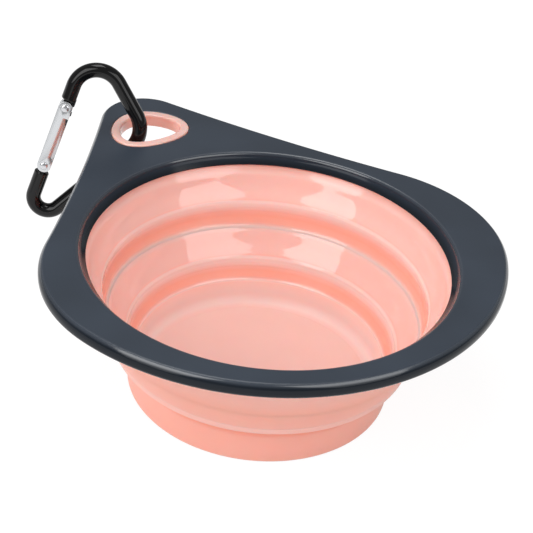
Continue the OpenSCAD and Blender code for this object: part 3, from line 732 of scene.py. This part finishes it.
# millimetres; each tongue runs SUNK deep into the rod
TONGUE_R, TONGUE_HALF, TONGUE_EDGE, RIVET_R, RIVET_PLAY = 1.45, 1.3, 0.18, 0.8, 0.05
NOSE_LONG, NOSE_IN, PIN_PLAY, NOTCH_EASE, SUNK = 2.4, 2.75, 0.35, 0.3, 0.6
root_low, root_top = SHOULDER_LOW - SUNK, SHOULDER_TOP + SUNK
hinge_tongue = half_turn(0, 0, TONGUE_R, 90, -90) + [(root_low, -TONGUE_R), (root_low, TONGUE_R)]
hinge_hole = half_turn(0, 0, RIVET_R + RIVET_PLAY, 360, 7.5, 48)
pin_gap = RIVET_R + PIN_PLAY
tip, notch = LATCH_ALONG - NOSE_LONG, LATCH_ALONG - pin_gap - NOTCH_EASE
nose = [(tip, TONGUE_R), (tip, -NOSE_IN), (notch, -NOSE_IN), (notch, 0.0)]
nose += half_turn(LATCH_ALONG, 0, pin_gap, 180, 0)[1:]
nose += [(LATCH_ALONG + pin_gap, -NOSE_IN), (root_top, -NOSE_IN), (root_top, TONGUE_R)]
bm = bmesh.new()
bm.from_mesh(rod_mesh)
for shape, holes in ((hinge_tongue, [hinge_hole]), (nose, [])):
    part = slab(shape, holes, TONGUE_HALF, gate_place, TONGUE_EDGE)
    spare = bpy.data.meshes.new("spare")
    part.to_mesh(spare)
    part.free()
    bm.from_mesh(spare)
rod = piece("clip_rod", closed_mesh(bm), black, 35)
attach(rod, "clip")
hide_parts("carabiner_body")

# %% [markdown]
# ## Bright sheet
# The gate is bright nickel plate over drawn steel, with faint lines along its length that draw
# reflections out to soft bands. The real lines are about 0.1 mm apart; here they are drawn 0.3 mm
# apart so that they show.

# %% Bright sheet
bright, tree = new_material("nickel_plated_steel_sheet")
place = put(tree, "ShaderNodeTexCoord")
along = put(tree, "ShaderNodeMapping",
            {"vector_type": "TEXTURE", "Rotation": gate_place.to_euler(),
             "Scale": (20 * MM, 0.3 * MM, 0.3 * MM)}, {"Vector": (place, "Object")})
lines = put(tree, "ShaderNodeTexNoise", {"Scale": 1.0, "Detail": 2.0}, {"Vector": (along, "Vector")})
steel = put(tree, "ShaderNodeValToRGB", links={"Fac": (lines, "Fac")})
for stop, code in zip(steel.color_ramp.elements, ("#D2D4D7", "#DCDEE0")):
    stop.color = linear(code)
rub = put(tree, "ShaderNodeMapRange", {"To Min": 0.2, "To Max": 0.24}, {"Value": (lines, "Fac")})
skin = put(tree, "ShaderNodeBsdfPrincipled", {"Metallic": 1.0},
           {"Base Color": (steel, "Color"), "Roughness": (rub, "Result")})
put(tree, "ShaderNodeOutputMaterial", links={"Surface": (skin, "BSDF")})
print("sheet", len(tree.nodes), "nodes")

# %% [markdown]
# ## The folded gate
# A strip of sheet folded to a channel: two flat cheeks with round ends, and a back that slants in
# on the loop's side. It could be folded again from a flat outline, but the CAD solid has the right
# shape, so a merged copy of its mesh gets small eased edges.

# %% Folded gate
GATE_EASE = 0.14


def eased_copy(node, width, segments=2):
    """A merged copy of a CAD node's mesh with its sharp edges bevelled."""
    bm = bmesh.new()
    bm.from_mesh(frame["nodes"][node].data)
    bmesh.ops.remove_doubles(bm, verts=bm.verts, dist=2e-6)
    bmesh.ops.dissolve_limit(bm, angle_limit=math.radians(0.4), verts=bm.verts, edges=bm.edges)
    sharp = [e for e in bm.edges if len(e.link_faces) == 2 and e.calc_face_angle(0) > SHARP_EDGE]
    bmesh.ops.bevel(bm, geom=sharp, offset=width * MM, segments=segments, profile=0.5, affect="EDGES",
                    clamp_overlap=True)
    bmesh.ops.triangulate(bm, faces=[f for f in bm.faces if len(f.verts) > 4])
    mesh = bpy.data.meshes.new(node)
    bm.to_mesh(mesh)
    bm.free()
    return mesh


gate = piece("gate_channel", eased_copy("carabiner_gate", GATE_EASE), bright, 35)
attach(gate, "gate")
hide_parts("carabiner_gate")

# %% [markdown]
# ## Rivets, plunger and spring
# Two domed rivets hold the gate: one is its hinge, the other its latch pin. Inside the channel a
# plunger is pressed against the rod's tongue by a small coil spring, which is what shuts the gate.

# %% Domed rivets and plunger
CHEEK, HEAD_R, HEAD_T, HEAD_RIM, SINK = 2.4, 1.4, 0.55, 0.08, 0.02


def lathe(profile, place, count=48):
    """A closed solid turned about Z from (r, z) millimetres, set in place."""
    bm = bmesh.new()
    turn = np.linspace(0, 2 * np.pi, count, endpoint=False)
    loft(bm, [[Vector((r * MM * math.cos(t), r * MM * math.sin(t), z * MM)) for t in turn]
              for r, z in profile])
    bm.transform(place)
    return closed_mesh(bm)


dome = [(HEAD_R * math.sin(t), CHEEK + HEAD_RIM + (HEAD_T - HEAD_RIM) * math.cos(t))
        for t in np.radians(np.linspace(0, 90, 10))]
shank = dome + [(HEAD_R, CHEEK), (RIVET_R, CHEEK - SINK)]
rivet_profile = shank + [(r, -z) for r, z in reversed(shank)]
for name, node, x in (("hinge_rivet", "gate_hinge_rivet", 0.0),
                      ("latch_pin", "gate_latch_pin", LATCH_ALONG)):
    standing = gate_place @ Matrix.Translation((x * MM, 0, 0))
    rivet = piece(name, lathe(rivet_profile, standing), polished, 50)
    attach(rivet, "gate")
    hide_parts(node)

PLUNGER_R, PLUNGER_FROM, PLUNGER_TO, SPRING_TO = 1.0, 1.8, 4.4, 18.381
lying = gate_place @ Matrix.Rotation(math.radians(90), 4, "Y")
nub = [(0, PLUNGER_FROM), (0.62, PLUNGER_FROM + 0.06), (0.9, PLUNGER_FROM + 0.26),
       (PLUNGER_R, PLUNGER_FROM + 0.6), (PLUNGER_R, PLUNGER_TO - 0.7), (0.6, PLUNGER_TO - 0.65),
       (0.58, PLUNGER_TO - 0.1), (0.5, PLUNGER_TO), (0, PLUNGER_TO)]
plunger = piece("spring_plunger", lathe(nub, lying), polished, 35)
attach(plunger, "gate")
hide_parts("gate_plunger")

# %% [markdown]
# ## The coil spring
# A coil of drawn wire in the channel, from the plunger to a little short of the latch pin. Its
# centre line is a helix, which the rod's tree sweeps with a thinner circle.

# %% Coil spring swept by Geometry Nodes
WIRE_R, COIL_R, TURNS, TURN_POINTS = 0.175, 0.825, 15, 28
coil_from, coil_long = PLUNGER_TO - 0.6, SPRING_TO - PLUNGER_TO + 0.5
t = np.linspace(0, 1, TURNS * TURN_POINTS)
coil = [gate_place @ Vector((x * MM, COIL_R * MM * math.cos(a), COIL_R * MM * math.sin(a)))
        for x, a in zip(coil_from + coil_long * t, 2 * math.pi * TURNS * t)]
wire = swept("coil_line", coil, np.ones(len(coil)),
             {"Radius": WIRE_R * MM, "Sides": 10, "Material": polished})
spring = piece("gate_spring_coil", wire, polished, 60)
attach(spring, "gate")
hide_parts("gate_spring")

# %% [markdown]
# ## White ground
# The part stands on white paper. The floor glows for the camera and for reflections only, so that
# it looks white without throwing more light on the part. The share that stays plain paper keeps a
# soft shadow.

# %% White floor
FLOOR_HALF, FLOOR_Z = 4, -0.0002
GLOW_SHARE, GLOW, PAPER = 0.8, 1.12, 0.8
ground, tree = new_material("white_paper_sweep")
rays = put(tree, "ShaderNodeLightPath")
seen = put(tree, "ShaderNodeMath", {"operation": "MAXIMUM"},
           {0: (rays, "Is Camera Ray"), 1: (rays, "Is Glossy Ray")})
seen = put(tree, "ShaderNodeMath", {"operation": "MAXIMUM"},
           {0: (seen, "Value"), 1: (rays, "Is Transmission Ray")})
share = put(tree, "ShaderNodeMath", {"operation": "MULTIPLY", 1: GLOW_SHARE}, {0: (seen, "Value")})
paper = put(tree, "ShaderNodeBsdfDiffuse", {"Color": (PAPER, PAPER, PAPER, 1)})
glow = put(tree, "ShaderNodeEmission", {"Color": (1, 1, 1, 1), "Strength": GLOW})
both = put(tree, "ShaderNodeMixShader",
           links={0: (share, "Value"), 1: (paper, "BSDF"), 2: (glow, "Emission")})
put(tree, "ShaderNodeOutputMaterial", links={"Surface": (both, "Shader")})
floor_mesh = bpy.data.meshes.new("floor")
corners = [(x * FLOOR_HALF, y * FLOOR_HALF, FLOOR_Z) for x, y in ((-1, -1), (1, -1), (1, 1), (-1, 1))]
floor_mesh.from_pydata(corners, [], [(0, 1, 2, 3)])
floor_mesh.materials.append(ground)
floor = bpy.data.objects.new("floor", floor_mesh)
bpy.context.scene.collection.objects.link(floor)
print("floor", 2 * FLOOR_HALF, "m wide")

# %% [markdown]
# ## Studio light
# Two leaning soft boxes beside the camera light the bowl and show as pale windows on its inside,
# each on the side away from its box, because a hollow wall mirrors that way. A fill from the left
# lights the outside and is kept out of reflections. A smaller lamp overhead draws the streaks along
# the rim and the rod, and a pale world softens the shadows.

# %% Soft boxes and world
AIM, SKY = Vector((0, 0.01, 0.03)), 0.34


def soft_box(name, azimuth, elevation, distance, width, height, radiance, lean=0, mirrored=True):
    """An area light, placed by degrees to the right of the camera and above the floor. Its upper
    edge leans towards the bowl by lean degrees, and glossy surfaces show it if mirrored is set."""
    side = math.radians(azimuth) - TAB_TURN
    up = math.radians(elevation)
    way = Vector((math.sin(side) * math.cos(up), -math.cos(side) * math.cos(up), math.sin(up)))
    lamp = bpy.data.lights.new(name, "AREA")
    lamp.shape, lamp.size, lamp.size_y = "RECTANGLE", width, height
    lamp.energy = radiance * math.pi * width * height
    obj = bpy.data.objects.new(name, lamp)
    obj.location = AIM + way * distance
    turn = way.to_track_quat("Z", "Y").to_matrix() @ Matrix.Rotation(math.radians(-lean), 3, "X")
    obj.rotation_euler = turn.to_euler()
    obj.visible_glossy = mirrored
    bpy.context.scene.collection.objects.link(obj)
    print(name, "at", [round(x, 2) for x in obj.location], round(lamp.energy, 2), "W")


soft_box("soft_box_right", azimuth=50, elevation=26, distance=1.0, width=0.6, height=1.0,
         radiance=2.15, lean=40)
soft_box("soft_box_left", azimuth=-40, elevation=26, distance=1.0, width=0.5, height=1.0,
         radiance=2.9, lean=40)
soft_box("left_fill", azimuth=-90, elevation=25, distance=1.0, width=0.9, height=0.6,
         radiance=2.1, mirrored=False)
soft_box("overhead", azimuth=-150, elevation=76, distance=1.2, width=0.55, height=0.6, radiance=3.7)

world = bpy.data.worlds.new("pale_studio")
bpy.context.scene.world = world
world.use_nodes = True
world.node_tree.nodes.clear()
sky = put(world.node_tree, "ShaderNodeBackground", {"Color": (1, 1, 1, 1), "Strength": SKY})
put(world.node_tree, "ShaderNodeOutputWorld", links={"Surface": (sky, "Background")})
bpy.context.scene.view_settings.view_transform = "Standard"
